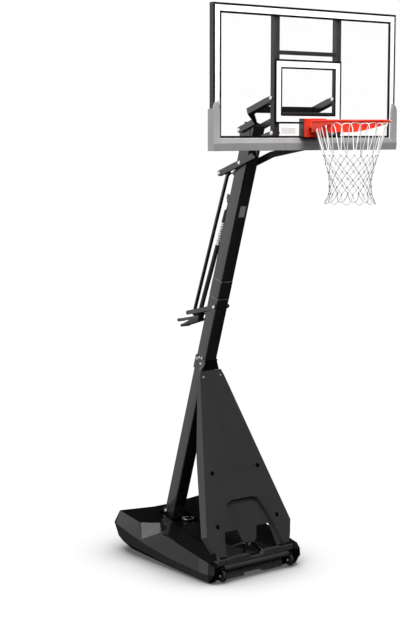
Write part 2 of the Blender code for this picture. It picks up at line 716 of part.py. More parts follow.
def build_board():
    inset = FRAME_T + GAP
    low = (-BOARD_HALF + inset, BOARD_Y, BOARD_BOTTOM + inset)
    high = (BOARD_HALF - inset, BOARD_Y + GLASS_T, BOARD_TOP - inset)
    add("glass_panel", box(low, high), "glass")
    build_frame()
    front = BOARD_Y + UPRIGHT_FRONT
    back = BOARD_Y + UPRIGHT_BACK
    bottom = BOARD_BOTTOM + FRAME_W + GAP
    top = BOARD_TOP - FRAME_W - GAP
    upper_eye = lift_point(UPPER_PIVOT, ARM_LEN)
    lower_eye = lift_point(LOWER_PIVOT, ARM_LEN)
    for name, side in SIDES:
        near, far = sorted((side * UPRIGHT_IN, side * UPRIGHT_OUT))
        tube = []
        for inset, z in ((0, bottom), (0, top), (0.003, top), (0.003, bottom)):
            edges = [(near + inset, front + inset), (far - inset, front + inset)]
            edges += [(far - inset, back - inset), (near + inset, back - inset)]
            tube.append([(x, y, z) for x, y in edges])
        upright = add(f"board_upright_{name}", loft(tube, looped=True), "frame steel")
        for level, eye in (("upper", upper_eye), ("lower", lower_eye)):
            hole(upright, eye, BOLT_R + GAP, side * 0.2, side * 0.3)
            centre = side * (UPRIGHT_IN + UPRIGHT_OUT) / 2
            half = (FORK_OUT - FORK_IN) / 2 + GAP
            bolt_through(f"{level}_board_bolt_{name}", half, (centre, *eye), head=0.010)
    reach = UPRIGHT_IN - GAP
    for name, low_z, high_z in (("upper", 3.448, 3.473), ("lower", 3.072, 3.097)):
        bar = box((-reach, front, low_z), (reach, front + 0.020, high_z))
        add(f"board_crossbar_{name}", bar, "frame steel")


PAD_SEAM = 0.206
PAD_SIDE = 0.772


def pad_section(x):
    """Cross-section of the bottom pad: a ridge between an upper and a lower bevel."""
    front = BOARD_Y - GAP
    rows = ((front, 2.938), (front - 0.006, 2.938), (front - 0.018, 2.908), (front - 0.013, 2.862))
    rows += ((BOARD_Y + 0.042, 2.862), (BOARD_Y + 0.042, 2.8705), (front, 2.8705))
    return [(x, y, z) for y, z in rows]


def build_pads():
    inner = PAD_SEAM + GAP
    for name, side in SIDES:
        ends = sorted((side * inner, side * PAD_SIDE))
        pad = add(f"pad_{name}", loft([pad_section(x) for x in ends]), "silver pad")
        face = [(0.722, 2.900), (PAD_SIDE, 2.900), (PAD_SIDE, 3.116), (0.760, 3.146), (0.732, 3.160)]
        face += [(0.722, 3.104)]
        join(pad, prism(mirrored(face, side), "Y", BOARD_Y - 0.016, BOARD_Y - GAP))
        near, far = sorted((side * (BOARD_HALF + GAP), side * PAD_SIDE))
        join(pad, box((near, BOARD_Y - 0.010, 2.864), (far, BOARD_Y + 0.042, 3.112)))
    ends = (-PAD_SEAM, PAD_SEAM)
    add("pad_centre", loft([pad_section(x) for x in ends]), "silver pad")


# --------------------------------------------------------------------------------------------- rim
def build_rim():
    housing = box((-BOX_HALF, BOARD_Y - 0.041, BOX_BOTTOM), (BOX_HALF, BOARD_Y - GAP, BOX_TOP))
    add("rim_housing", housing, "black steel")
    box_front = BOARD_Y - 0.081
    red = box((-BOX_HALF, box_front, BOX_BOTTOM), (BOX_HALF, BOARD_Y - 0.0445, BOX_TOP))
    add("rim_box", red, "rim paint", ORIGIN)
    turns = 48
    rings = []
    for i in range(turns):
        angle = 2 * math.pi * i / turns
        ring = []
        for u, v in circle((RING_R, 0), RING_BAR_R, 8):
            ring.append((u * math.sin(angle), RING_Y + u * math.cos(angle), RING_Z + v))
        rings.append(ring)
    add("rim_ring", loft(rings, looped=True), "rim paint")
    build_rim_brace(box_front)


def build_rim_brace(box_front):
    """A sheet under the ring: deep behind, it tapers to nothing at the sides. A top plate ties it in."""
    top = RING_Z - RING_BAR_R - GAP
    steps = 28
    reach = math.radians(112)
    deep = 0.054
    rings = []
    for i in range(steps + 1):
        angle = -reach + 2 * reach * i / steps
        fade = min(1.0, (reach - abs(angle)) / math.radians(62))
        depth = 0.004 + deep * fade
        ring = []
        for radius, z in ((RING_R + 0.002, top), (RING_R + 0.002, top - depth)):
            ring.append((radius * math.sin(angle), RING_Y + radius * math.cos(angle), z))
        for radius, z in ((RING_R - 0.002, top - depth), (RING_R - 0.002, top)):
            ring.append((radius * math.sin(angle), RING_Y + radius * math.cos(angle), z))
        rings.append(ring)
    brace = add("rim_brace", loft(rings), "rim paint")
    neck_back = box_front - GAP
    neck_front = RING_Y + RING_R * math.cos(math.radians(17.5))
    join(brace, box((-0.070, neck_front, top - 0.030), (-0.066, neck_back, top)))
    join(brace, box((0.066, neck_front, top - 0.030), (0.070, neck_back, top)))
    join(brace, box((-0.070, neck_front, top - 0.004), (0.070, neck_back, top)))


NET_ROWS = ((3.028, 0.221), (2.93, 0.196), (2.80, 0.158), (2.68, 0.130), (2.60, 0.133), (2.538, 0.160))
NET_WALL = 0.004


def build_net():
    """A plain open sleeve with the net's size. It holds the space of the knotted cords."""
    rings = []
    for z, radius in NET_ROWS:
        rings.append([(x, y, z) for x, y in circle((0, RING_Y), radius, 24)])
    for z, radius in reversed(NET_ROWS):
        rings.append([(x, y, z) for x, y in circle((0, RING_Y), radius - NET_WALL, 24)])
    add("net", loft(rings, looped=True), "net cord")


def main():
    for old in list(bpy.data.objects):
        bpy.data.objects.remove(old)
    build_base()
    build_base_front()
    build_shield()
    build_braces()
    build_pole()
    build_lift()
    build_push_rod()
    build_handle_link()
    build_lock()
    build_squeeze_lever()
    build_assist_tube()
    build_board()
    build_pads()
    build_rim()
    build_net()
    board = ("glass", "board_", "pad_", "upper_board_bolt", "lower_board_bolt", "rim_housing")
    hang("filler_cap_axis", CAP_AT, "filler_cap")
    hang("lower_arm_axis", (0.0, *LOWER_PIVOT), "lower_arm_", "push_rod_pin")
    hang("upper_arm_axis", (0.0, *UPPER_PIVOT), "upper_arm_", "upper_cross")
    hang("board_axis", (0.0, *lift_point(LOWER_PIVOT, ARM_LEN)), *board)
    hang("rim_axis", RIM_HINGE, "rim_ring", "rim_brace", "rim_box", "net")
    hang("assist_axis", (0.0, *ASSIST_PIVOT), "assist_tube", "assist_rod")


main()
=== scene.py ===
import json
import math

import bmesh
import bpy
from mathutils import Euler, Matrix, Vector

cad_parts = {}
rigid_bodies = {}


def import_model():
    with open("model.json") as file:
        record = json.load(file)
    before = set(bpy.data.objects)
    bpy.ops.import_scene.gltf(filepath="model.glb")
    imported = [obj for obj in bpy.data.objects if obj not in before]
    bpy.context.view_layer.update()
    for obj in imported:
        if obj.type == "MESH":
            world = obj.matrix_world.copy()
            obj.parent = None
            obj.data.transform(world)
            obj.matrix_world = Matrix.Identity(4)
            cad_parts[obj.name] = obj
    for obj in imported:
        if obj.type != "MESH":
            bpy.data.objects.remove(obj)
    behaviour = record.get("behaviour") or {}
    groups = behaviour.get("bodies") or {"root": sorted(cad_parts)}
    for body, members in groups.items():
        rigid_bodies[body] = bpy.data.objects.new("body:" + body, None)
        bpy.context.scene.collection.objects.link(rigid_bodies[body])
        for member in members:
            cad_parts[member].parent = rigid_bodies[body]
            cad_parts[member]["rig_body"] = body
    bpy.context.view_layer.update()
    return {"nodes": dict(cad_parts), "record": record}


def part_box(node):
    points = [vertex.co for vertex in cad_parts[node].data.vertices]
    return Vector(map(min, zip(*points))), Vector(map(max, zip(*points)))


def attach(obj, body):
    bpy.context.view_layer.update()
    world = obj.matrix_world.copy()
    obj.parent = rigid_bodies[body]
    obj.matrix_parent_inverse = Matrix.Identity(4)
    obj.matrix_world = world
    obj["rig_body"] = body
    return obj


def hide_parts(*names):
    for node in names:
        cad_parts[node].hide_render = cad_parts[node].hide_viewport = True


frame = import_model()

# ------------------------------------------------------------------------------------ sizes
GAP = 0.0003
POLE_SLOPE = 0.318
POLE_TILT = math.atan(POLE_SLOPE)
POLE_Y0 = 0.4695
POLE_HALF = 0.0508
SHIELD_TILT = math.atan(0.413)
SHIELD_Y0 = -0.580
BOARD_Y = -1.010
BOARD_HALF = 0.762
BOARD_BOTTOM, BOARD_TOP = 2.871, 3.735
RING_R = 0.2366
RING_Y = BOARD_Y - 0.1524 - 0.2286
RING_Z = 3.040
UPPER_PIVOT = Vector((0, -0.420, 2.990))
LOWER_PIVOT = Vector((0, -0.428, 2.776))
ARM_REACH, ARM_RISE = 0.560, 0.193
ARM_TILT = math.atan2(ARM_RISE, ARM_REACH)
ARM_LEN = math.hypot(ARM_REACH, ARM_RISE)
ARM_TAIL = 0.227
LINK_PIVOT = Vector((0, -0.139, 1.791))
LOCK_PIVOT = Vector((0, 0.098, 1.714))
ASSIST_PIVOT = Vector((0, -0.227, 2.513))
HOOKS = 12
HOOK_STEP = 2 * math.pi / HOOKS
HOOK_TURN = math.radians(7.5)
WHEEL_AT = (0.299, -0.528, 0.0445)
SIDES = (("left", -1), ("right", 1))


# ------------------------------------------------------------------------------------ materials
def surface(name, colour, rough=0.45, metal=0.0, spec=0.5, coat=0.0, grain=900.0, bump=0.15,
            mottle=0.12, rub_and_highlight=0.0, rub_and_highlight_colour=(0.3, 0.3, 0.3), depth=0.0004, sheen=0.0, streak=None):
    """A coated or moulded surface of this mean roughness: fine grain, soft mottling, and edges lightened as
    rubbed wear and painted highlight.
    """
    material = bpy.data.materials.new(name)
    material.use_nodes = True
    nodes, links = material.node_tree.nodes, material.node_tree.links
    shader = nodes["Principled BSDF"]
    shader.inputs["Metallic"].default_value = metal
    shader.inputs["Specular IOR Level"].default_value = spec
    shader.inputs["Coat Weight"].default_value = coat
    shader.inputs["Coat Roughness"].default_value = 0.12
    shader.inputs["Sheen Weight"].default_value = sheen
    where = nodes.new("ShaderNodeTexCoord")
    mapping = nodes.new("ShaderNodeMapping")
    if streak:
        mapping.inputs["Scale"].default_value = streak
    links.new(where.outputs["Object"], mapping.inputs["Vector"])

    def noise(scale, detail, roughness=0.55):
        node = nodes.new("ShaderNodeTexNoise")
        node.inputs["Scale"].default_value = scale
        node.inputs["Detail"].default_value = detail
        node.inputs["Roughness"].default_value = roughness
        links.new(mapping.outputs["Vector"], node.inputs["Vector"])
        return node.outputs["Fac"]

    broad = noise(7.0, 4.0)
    fine = noise(grain, 2.0)
    tone = nodes.new("ShaderNodeMapRange")
    tone.inputs["From Min"].default_value = 0.3
    tone.inputs["From Max"].default_value = 0.7
    tone.inputs["To Min"].default_value = 1.0 - mottle
    tone.inputs["To Max"].default_value = 1.0 + mottle
    links.new(broad, tone.inputs["Value"])
    tint = nodes.new("ShaderNodeVectorMath")
    tint.operation = "SCALE"
    tint.inputs[0].default_value = colour
    links.new(tone.outputs["Result"], tint.inputs["Scale"])
    colour_out = tint.outputs["Vector"]
    # Edges found by pointiness are lightened: partly rubbed wear, partly painted highlight standing in for
    # light catching the edges.
    if rub_and_highlight:
        geometry = nodes.new("ShaderNodeNewGeometry")
        edge = nodes.new("ShaderNodeMapRange")
        edge.inputs["From Min"].default_value = 0.54
        edge.inputs["From Max"].default_value = 0.66
        edge.inputs["To Max"].default_value = rub_and_highlight
        links.new(geometry.outputs["Pointiness"], edge.inputs["Value"])
        rub_and_highlight_mask = nodes.new("ShaderNodeMath")
        rub_and_highlight_mask.operation = "MULTIPLY"
        links.new(edge.outputs["Result"], rub_and_highlight_mask.inputs[0])
        links.new(noise(60.0, 3.0), rub_and_highlight_mask.inputs[1])
        mix = nodes.new("ShaderNodeMix")
        mix.data_type = "RGBA"
        mix.inputs["B"].default_value = (*rub_and_highlight_colour, 1)
        links.new(rub_and_highlight_mask.outputs["Value"], mix.inputs["Factor"])
        links.new(colour_out, mix.inputs["A"])
        colour_out = mix.outputs["Result"]
    links.new(colour_out, shader.inputs["Base Color"])
    gloss = nodes.new("ShaderNodeMapRange")
    gloss.inputs["To Min"].default_value = max(0.02, rough - 0.07)
    gloss.inputs["To Max"].default_value = min(1.0, rough + 0.07)
    links.new(noise(35.0, 3.0), gloss.inputs["Value"])
    links.new(gloss.outputs["Result"], shader.inputs["Roughness"])
    relief = nodes.new("ShaderNodeBump")
    relief.inputs["Strength"].default_value = bump
    relief.inputs["Distance"].default_value = depth
    links.new(fine, relief.inputs["Height"])
    links.new(relief.outputs["Normal"], shader.inputs["Normal"])
    return material


def clear_glass(name):
    """Clear sheet that mirrors a little on its front faces and lets everything else through."""
    material = bpy.data.materials.new(name)
    material.use_nodes = True
    nodes, links = material.node_tree.nodes, material.node_tree.links
    nodes.remove(nodes["Principled BSDF"])
    see = nodes.new("ShaderNodeBsdfTransparent")
    see.inputs["Color"].default_value = (0.996, 0.999, 0.998, 1)
    shine = nodes.new("ShaderNodeBsdfGlossy")
    shine.inputs["Roughness"].default_value = 0.02
    facing = nodes.new("ShaderNodeFresnel")
    facing.inputs["IOR"].default_value = 1.15
    mix = nodes.new("ShaderNodeMixShader")
    side = nodes.new("ShaderNodeNewGeometry")
    front = nodes.new("ShaderNodeMath")
    front.operation = "SUBTRACT"
    front.inputs[0].default_value = 1.0
    links.new(side.outputs["Backfacing"], front.inputs[1])
    share = nodes.new("ShaderNodeMath")
    share.operation = "MULTIPLY"
    links.new(facing.outputs["Fac"], share.inputs[0])
    links.new(front.outputs["Value"], share.inputs[1])
    links.new(share.outputs["Value"], mix.inputs["Fac"])
    links.new(see.outputs["BSDF"], mix.inputs[1])
    links.new(shine.outputs["BSDF"], mix.inputs[2])
    links.new(mix.outputs["Shader"], nodes["Material Output"].inputs["Surface"])
    return material


LOOK = {
    # The base plastic's lightened edges are a painted highlight, standing in for light catching its bevels.
    "base_plastic": surface("base_plastic", (0.0024, 0.0024, 0.0025), 0.42, spec=0.14, coat=0.55,
                            grain=700, bump=0.2,
                            mottle=0.18, rub_and_highlight=1.0, rub_and_highlight_colour=(0.20, 0.20, 0.20)),
    "shield_plastic": surface("shield_plastic", (0.049, 0.049, 0.0498), 0.46, spec=0.22, grain=800, bump=0.3,
                              mottle=0.08, rub_and_highlight=0.5, rub_and_highlight_colour=(0.10, 0.10, 0.10)),
    "black_steel": surface("black_steel", (0.0045, 0.0045, 0.005), 0.30, coat=0.4, grain=420,
                           bump=0.12, mottle=0.1, rub_and_highlight=0.5, rub_and_highlight_colour=(0.16, 0.16, 0.16)),
    "frame_steel": surface("frame_steel", (0.024, 0.024, 0.025), 0.36, spec=0.2, coat=0.05, grain=420,
                           bump=0.12, mottle=0.08, rub_and_highlight=0.4, rub_and_highlight_colour=(0.2, 0.2, 0.2)),
    "zinc": surface("zinc", (0.78, 0.78, 0.79), 0.42, metal=0.85, grain=300, bump=0.1, mottle=0.15,
                    streak=(1, 1, 6)),
    "board_glass": clear_glass("board_glass"),
    "silver_pad": surface("silver_pad", (0.32, 0.323, 0.323), 0.42, spec=0.35, metal=0.1,
                          grain=1500, bump=0.1,
                          mottle=0.04),
    "rim_paint": surface("rim_paint", (0.86, 0.030, 0.009), 0.42, spec=0.25, coat=0.08, grain=500, bump=0.12,
                         mottle=0.05, rub_and_highlight=0.4, rub_and_highlight_colour=(0.9, 0.25, 0.15)),
    "net_cord": surface("net_cord", (0.93, 0.93, 0.92), 0.75, spec=0.25, grain=600, bump=0.7,
                        mottle=0.06, depth=0.0008, sheen=0.3, streak=(1, 1, 0.35)),
    "wheel_rubber": surface("wheel_rubber", (0.012, 0.012, 0.012), 0.6, grain=500, bump=0.4),
    "grip_plastic": surface("grip_plastic", (0.018, 0.018, 0.019), 0.55, grain=900, bump=0.6),
}
PRINT_WHITE = surface("print_white", (0.92, 0.92, 0.915), 0.5, spec=0.3, grain=300, bump=0.03, mottle=0.015)
PRINT_BLACK = surface("print_black", (0.004, 0.004, 0.004), 0.5, spec=0.1, grain=300, bump=0.03, mottle=0.05)
LABEL_GREY = surface("label_grey", (0.32, 0.32, 0.32), 0.4, spec=0.4, grain=300, bump=0.05, mottle=0.12)
LABEL_PALE = surface("label_pale", (0.70, 0.70, 0.69), 0.45, spec=0.4, grain=300, bump=0.05, mottle=0.06)
# A grey copy of the white cord for the lower net: painted shade.
CORD_PAINTED_SHADE = surface("net_cord_painted_shade", (0.47, 0.47, 0.465), 0.8, spec=0.2, grain=600, bump=0.7,
                     mottle=0.1, depth=0.0008, streak=(1, 1, 0.35))
# A pale copy of the base plastic for the hand-hold facets: painted highlight where light falls on them.
HOLD_PAINTED_HIGHLIGHT = surface("hold_painted_highlight", (0.31, 0.31, 0.31), 0.4, spec=0.5, grain=700, bump=0.2, mottle=0.12)
# A lighter copy of the base plastic for the nose's side faces: painted light where the lamps fall on them.
NOSE_PAINTED_LIGHT = surface("nose_painted_light", (0.030, 0.030, 0.031), 0.38, spec=0.4, grain=700, bump=0.25)
# Near-black copy of the white cord for the knots: painted shade.
KNOT_PAINTED_SHADE = surface("net_knot_painted_shade", (0.09, 0.09, 0.088), 0.8, spec=0.2, grain=700, bump=0.8, mottle=0.15, depth=0.001)
DEEP_BLACK = surface("bolt_black", (0.0012, 0.0012, 0.0012), 0.6, spec=0.08, grain=700, bump=0.2)
HUB_GREY = surface("hub_grey", (0.10, 0.10, 0.10), 0.4, grain=700, bump=0.2)


# ------------------------------------------------------------------------------------ shapes
def loft(rings, looped=False, shape=None):
    """Joins rings of points into a skin: closed at both ends or, if looped, from the last to the first."""
    shape = shape or bmesh.new()
    loops = [[shape.verts.new(point) for point in ring] for ring in rings]
    pairs = list(zip(loops, loops[1:]))
    if looped:
        pairs.append((loops[-1], loops[0]))
    for near, far in pairs:
        for i in range(len(near)):
            j = (i + 1) % len(near)
            shape.faces.new((near[i], near[j], far[j], far[i]))
    if not looped:
        shape.faces.new(loops[0][::-1])
        shape.faces.new(loops[-1])
    return shape


def circle(radius, count, centre=(0, 0), turn=0.0):
    """Points of a flat circle, from this turn in radians."""
    return [
        (centre[0] + radius * math.cos(turn + 2 * math.pi * i / count),
         centre[1] + radius * math.sin(turn + 2 * math.pi * i / count))
        for i in range(count)
    ]


def piece(name, shape, look, body, replaces=(), bevel=0.0, segments=2, at=(0, 0, 0), tilt=0.0,
          material=None, smooth=32, limit=28):
    """Makes a finished piece: placed, bevelled, shaded and riding on its body. Edges sharper than limit
    degrees are bevelled, and those sharper than smooth degrees stay sharp in shading."""
    bmesh.ops.recalc_face_normals(shape, faces=shape.faces)
    if tilt or any(at):
        shape.transform(Matrix.Translation(at) @ Matrix.Rotation(tilt, 4, "X"))
    mesh = bpy.data.meshes.new(name)
    shape.to_mesh(mesh)
    shape.free()
    made = bpy.data.objects.new(name, mesh)
    bpy.context.scene.collection.objects.link(made)
    if bevel:
        edge = made.modifiers.new("edges", "BEVEL")
        edge.width = bevel
        edge.segments = segments
        edge.limit_method = "ANGLE"
        edge.angle_limit = math.radians(limit)
        edge.use_clamp_overlap = True
        graph = bpy.context.evaluated_depsgraph_get()
        mesh = bpy.data.meshes.new_from_object(made.evaluated_get(graph))
        made.modifiers.clear()
        made.data = mesh
    mesh.shade_smooth()
    mesh.set_sharp_from_angle(angle=math.radians(smooth))
    if bevel:
        flat = made.modifiers.new("flat_faces", "WEIGHTED_NORMAL")
        flat.keep_sharp = True
        flat.weight = 100
    mesh.materials.append(material or LOOK[look])
    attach(made, body)
    if replaces:
        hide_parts(*replaces)
    return made


def node_copy(node):
    """A CAD node's shape with its flat faces made whole again."""
    shape = bmesh.new()
    shape.from_mesh(frame["nodes"][node].data)
    bmesh.ops.remove_doubles(shape, verts=shape.verts, dist=2e-6)
    bmesh.ops.dissolve_limit(shape, angle_limit=math.radians(0.6), verts=shape.verts,
                             edges=shape.edges)
    return shape


NODE_BODY = {n: o["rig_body"] for n, o in frame["nodes"].items()}
NODE_SLOT = {s["node"]: s["material_slot"] for s in frame["record"]["subparts"]}


def refine(node, bevel, segments=2, limit=28, smooth=32):
    """A CAD node with its edges rounded, in its place."""
    return piece(f"{node}_finished", node_copy(node), NODE_SLOT[node], NODE_BODY[node], (node,),
                 bevel, segments, limit=limit, smooth=smooth)


def rounded(half_x, half_y, radius, steps=4):
    """Points of a rectangle with round corners."""
    outline = []
    for cx, cy, start in ((1, 1, 0), (-1, 1, 90), (-1, -1, 180), (1, -1, 270)):
        for i in range(steps + 1):
            angle = math.radians(start + 90 * i / steps)
            outline.append((cx * (half_x - radius) + radius * math.cos(angle),
                            cy * (half_y - radius) + radius * math.sin(angle)))
    return outline


def tube(points, radius, sides=8, closed=False, shape=None):
    """A round tube along points, with no twist between its rings."""
    points = [Vector(p) for p in points]
    count = len(points)
    rings, side = [], None
    for i, point in enumerate(points):
        before = points[(i - 1) % count] if closed or i else point
        after = points[(i + 1) % count] if closed or i < count - 1 else point
        ahead = (after - before).normalized()
        if side is None:
            side = ahead.orthogonal().normalized()
        side = (side - ahead * side.dot(ahead)).normalized()
        up = ahead.cross(side)
        rings.append([point + side * x + up * y for x, y in circle(radius, sides)])
    return loft(rings, closed, shape)


def ball(centre, radius, shape, stretch=(1, 1, 1)):
    """A knot: a ball, longer or flatter by stretch."""
    place = Matrix.Translation(centre) @ Matrix.Diagonal((*stretch, 1))
    bmesh.ops.create_icosphere(shape, subdivisions=2, radius=radius, matrix=place)


def turned(profile, axis, centre, sides=28, shape=None):
    """A closed profile of (distance along axis, radius) points turned round the axis."""
    rings = []
    for i in range(sides):
        angle = 2 * math.pi * i / sides
        ring = []
        for along, radius in profile:
            flat = (radius * math.cos(angle), radius * math.sin(angle))
            point = {"X": (along, *flat), "Y": (flat[0], along, flat[1]), "Z": (*flat, along)}[axis]
            ring.append(Vector(centre) + Vector(point))
        rings.append(ring)
    return loft(rings, looped=True, shape=shape)


def hexagon(shape, axis, centre, radius, low, high):
    """A hexagon bolt head or nut with a domed rim, from low to high along its axis."""
    crown = low + (high - low) * 0.75
    rings = []
    for along, size in ((low, 1.0), (crown, 1.0), (high, 0.86)):
        ring = []
        for u, v in circle(radius * size, 6, turn=0.3):
            point = {"X": (along, u, v), "Y": (u, along, v), "Z": (u, v, along)}[axis]
            ring.append(Vector(centre) + Vector(point))
        rings.append(ring)
    loft(rings, shape=shape)


def washer(shape, axis, centre, radius, low, high, sides=24):
    """A plain disc or shank from low to high along its axis."""
    rings = []
    for along, size in ((low, 1.0), (high, 1.0)):
        ring = []
        for u, v in circle(radius * size, sides):
            point = {"X": (along, u, v), "Y": (u, along, v), "Z": (u, v, along)}[axis]
            ring.append(Vector(centre) + Vector(point))
        rings.append(ring)
    loft(rings, shape=shape)


def through_bolt(name, node, half, centre, head=0.011, thick=0.0055):
    """A bolt along X in place of a plain one: washers, a hexagon head and a nut."""
    shape = bmesh.new()
    centre = Vector(centre)
    washer(shape, "X", centre, 0.0059, -half - 0.0005, half + 0.0005, 20)
    for side in (-1, 1):
        washer(shape, "X", centre, head + 0.0015, side * half, side * (half + 0.0016))
        hexagon(shape, "X", centre, head, side * (half + 0.0012), side * (half + thick + 0.001))
    piece(name, shape, "zinc", NODE_BODY[node], (node,))


def bolt_head(shape, at, direction, radius, height, flange=1.25):
    """A flanged hexagon head that stands on a face, pointing along direction."""
    place = Matrix.Translation(at) @ Vector(direction).to_track_quat("Z", "Y").to_matrix().to_4x4()
    start = len(shape.verts)
    shape.verts.ensure_lookup_table()
    washer(shape, "Z", (0, 0, 0), radius * flange, -0.0005, height * 0.25)
    hexagon(shape, "Z", (0, 0, 0), radius, height * 0.2, height)
    shape.verts.ensure_lookup_table()
    for vert in shape.verts[start:]:
        vert.co = place @ vert.co


def pole_axis(height):
    """The point on the pole's leaning axis at this height."""
    return Vector((0, POLE_Y0 - POLE_SLOPE * height, height))


def shield_point(x, height, depth=0.0):
    """A point on the shield's front plane, or this deep behind it."""
    lean = Matrix.Rotation(-SHIELD_TILT, 4, "X")
    return Vector((0, SHIELD_Y0, 0)) + lean @ Vector((x, depth, height / math.cos(SHIELD_TILT)))


# ------------------------------------------------------------------------------------ base
def finish_base():
    """The tank with painted highlight on its hand-hold facets and nose sides, the bumper, and the bars
    behind the shield.
    """
    base = refine("base_tank", 0.005, 3, limit=8, smooth=16)
    base.data.materials.append(HOLD_PAINTED_HIGHLIGHT)
    base.data.materials.append(NOSE_PAINTED_LIGHT)
    # Forward facets of the hand holds and the side faces of the nose get lighter copies of the base plastic:
    # painted highlight.
    for face in base.data.polygons:
        x, y, z = abs(face.center.x), face.center.y, face.center.z
        if x > 0.25 and 0.20 < y < 0.28 and face.normal.y < -0.7:
            face.material_index = 1
        elif x > 0.38 and -0.50 < y < -0.41 and z > 0.07 and abs(face.normal.x) > 0.8:
            face.material_index = 2
    refine("front_bumper", 0.0035)
    refine("axle_tube", 0.0015)
    bars = bmesh.new()
    for route in (((-0.152, 0.197), (-0.060, 0.204), (-0.044, 0.196), (-0.040, 0.178), (-0.040, 0.060)),
                  ((0.004, 0.178), (0.008, 0.196), (0.020, 0.204), (0.034, 0.198), (0.104, 0.130),
                   (0.114, 0.116), (0.116, 0.060))):
        tube([(x, -0.450, z) for x, z in route], 0.0120, 14, shape=bars)
    piece("base_hand_bars", bars, "black_steel", "stand")

def finish_cap():
    """The filler cap: a knurled ring, open down its middle, with a bright lip and a bar to turn it by."""
    lowest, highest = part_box("filler_cap")
    middle = (Vector(lowest) + Vector(highest)) / 2
    centre = Vector((middle.x, middle.y, lowest.z + 0.030))
    profile = [(-0.029, 0.024), (-0.0005, 0.027), (0.0005, 0.044), (0.003, 0.045), (0.011, 0.0445),
               (0.0155, 0.041), (0.0165, 0.030), (0.0125, 0.026)]
    steps, knurl_every, knurl_depth = 72, 3, 0.0012
    rings = []
    for i in range(steps):
        angle = 2 * math.pi * i / steps
        ring = []
        for along, radius in profile:
            on_knurl = radius > 0.04 and along < 0.012 and i % knurl_every == 0
            r = radius - knurl_depth if on_knurl else radius
            ring.append((r * math.cos(angle), r * math.sin(angle), along))
        rings.append(ring)
    piece("filler_cap_finished", loft(rings, looped=True), "base_plastic", "filler_cap", ("filler_cap",),
          at=centre)
    lip = [(0.0148, 0.0375), (0.0172, 0.0385), (0.0180, 0.0405), (0.0172, 0.0425), (0.0148, 0.0430)]
    piece("filler_cap_rim", turned(lip, "Z", centre, 48), "zinc", "filler_cap")
    grip = loft([[(x, y, 0.0118) for x, y in rounded(0.026, 0.006, 0.004)],
                 [(x, y, 0.0225) for x, y in rounded(0.025, 0.005, 0.004)],
                 [(x, y, 0.0245) for x, y in rounded(0.023, 0.0035, 0.003)]])
    piece("filler_cap_grip", grip, "base_plastic", "filler_cap", at=centre)


def finish_wheels():
    """Brackets, forks and braces on each side, and wheels with a grooved tyre and a dished hub."""
    for name, side in SIDES:
        refine(f"brace_bracket_{name}", 0.004, 3)
        refine(f"wheel_fork_{name}", 0.002)
        refine(f"front_brace_{name}", 0.003, 3)
        centre = (side * WHEEL_AT[0], WHEEL_AT[1], WHEEL_AT[2])
        half, r = 0.012, 0.042
        tread = [(-half, 0.022), (-half, r - 0.009), (-half + 0.002, r - 0.004),
                 (-half + 0.006, r - 0.0008), (-0.003, r), (-0.0022, r - 0.0012),
                 (0.0022, r - 0.0012), (0.003, r),
                 (half - 0.006, r - 0.0008), (half - 0.002, r - 0.004), (half, r - 0.009), (half, 0.022)]
        piece(f"wheel_tyre_{name}", turned(tread, "X", centre, 48), "wheel_rubber", f"wheel_{name}",
              (f"wheel_{name}",))
        hub = [(-half - 0.0012, 0.0064), (-half - 0.0012, 0.011), (-half + 0.003, 0.013),
               (-half + 0.003, 0.019), (-half + 0.0005, 0.0205), (-half + 0.0005, 0.0222),
               (half - 0.0005, 0.0222), (half - 0.0005, 0.0205), (half - 0.003, 0.019),
               (half - 0.003, 0.013), (half + 0.0012, 0.011), (half + 0.0012, 0.0064)]
        piece(f"wheel_hub_{name}", turned(hub, "X", centre, 36), "shield_plastic", f"wheel_{name}",
              material=HUB_GREY)
        through_bolt(f"wheel_axle_{name}_finished", f"wheel_axle_{name}", 0.0178, centre, 0.0085, 0.0045)


# ------------------------------------------------------------------------------------ shield
def finish_shield():
    """The tall panel over the pole's foot, its bracket, and the bolts that hold it."""
    refine("shield", 0.0016, 2, limit=6, smooth=16)
    refine("pole_bracket", 0.0015)
    lean = Matrix.Rotation(-SHIELD_TILT, 4, "X")
    out = lean @ Vector((0, -1, 0))
    for label, spots, radius, look in (
        ("top", ((0.075, 1.296),), 0.0068, "zinc"),
        ("side", ((0.200, 0.683), (0.262, 0.351)), 0.0120, "black_steel"),
    ):
        for name, side in SIDES:
            shape = bmesh.new()
            for x, height in spots:
                bolt_head(shape, shield_point(side * x, height, -0.0002), out, radius, 0.006)
            piece(f"shield_bolts_{label}_{name}", shape, look, "stand",
                  material=DEEP_BLACK if label == "side" else None)


# ------------------------------------------------------------------------------------ pole
def pole_tube(node, low, high, half, name):
    """One length of the square pole, with round corners and its ends eased."""
    corner, wall = 0.009, 0.003
    length = (high - low) / math.cos(POLE_TILT) - GAP
    chamfer = 0.0008
    rings = [
        [(x, y, 0.0) for x, y in rounded(half - chamfer, half - chamfer, corner)],
        [(x, y, chamfer) for x, y in rounded(half, half, corner)],
        [(x, y, length - chamfer) for x, y in rounded(half, half, corner)],
        [(x, y, length) for x, y in rounded(half - chamfer, half - chamfer, corner)],
        [(x, y, length) for x, y in rounded(half - wall, half - wall, corner - wall)],
        [(x, y, 0.0) for x, y in rounded(half - wall, half - wall, corner - wall)],
    ]
    piece(name, loft(rings, looped=True), "black_steel", "stand", (node,), at=pole_axis(low), tilt=POLE_TILT)


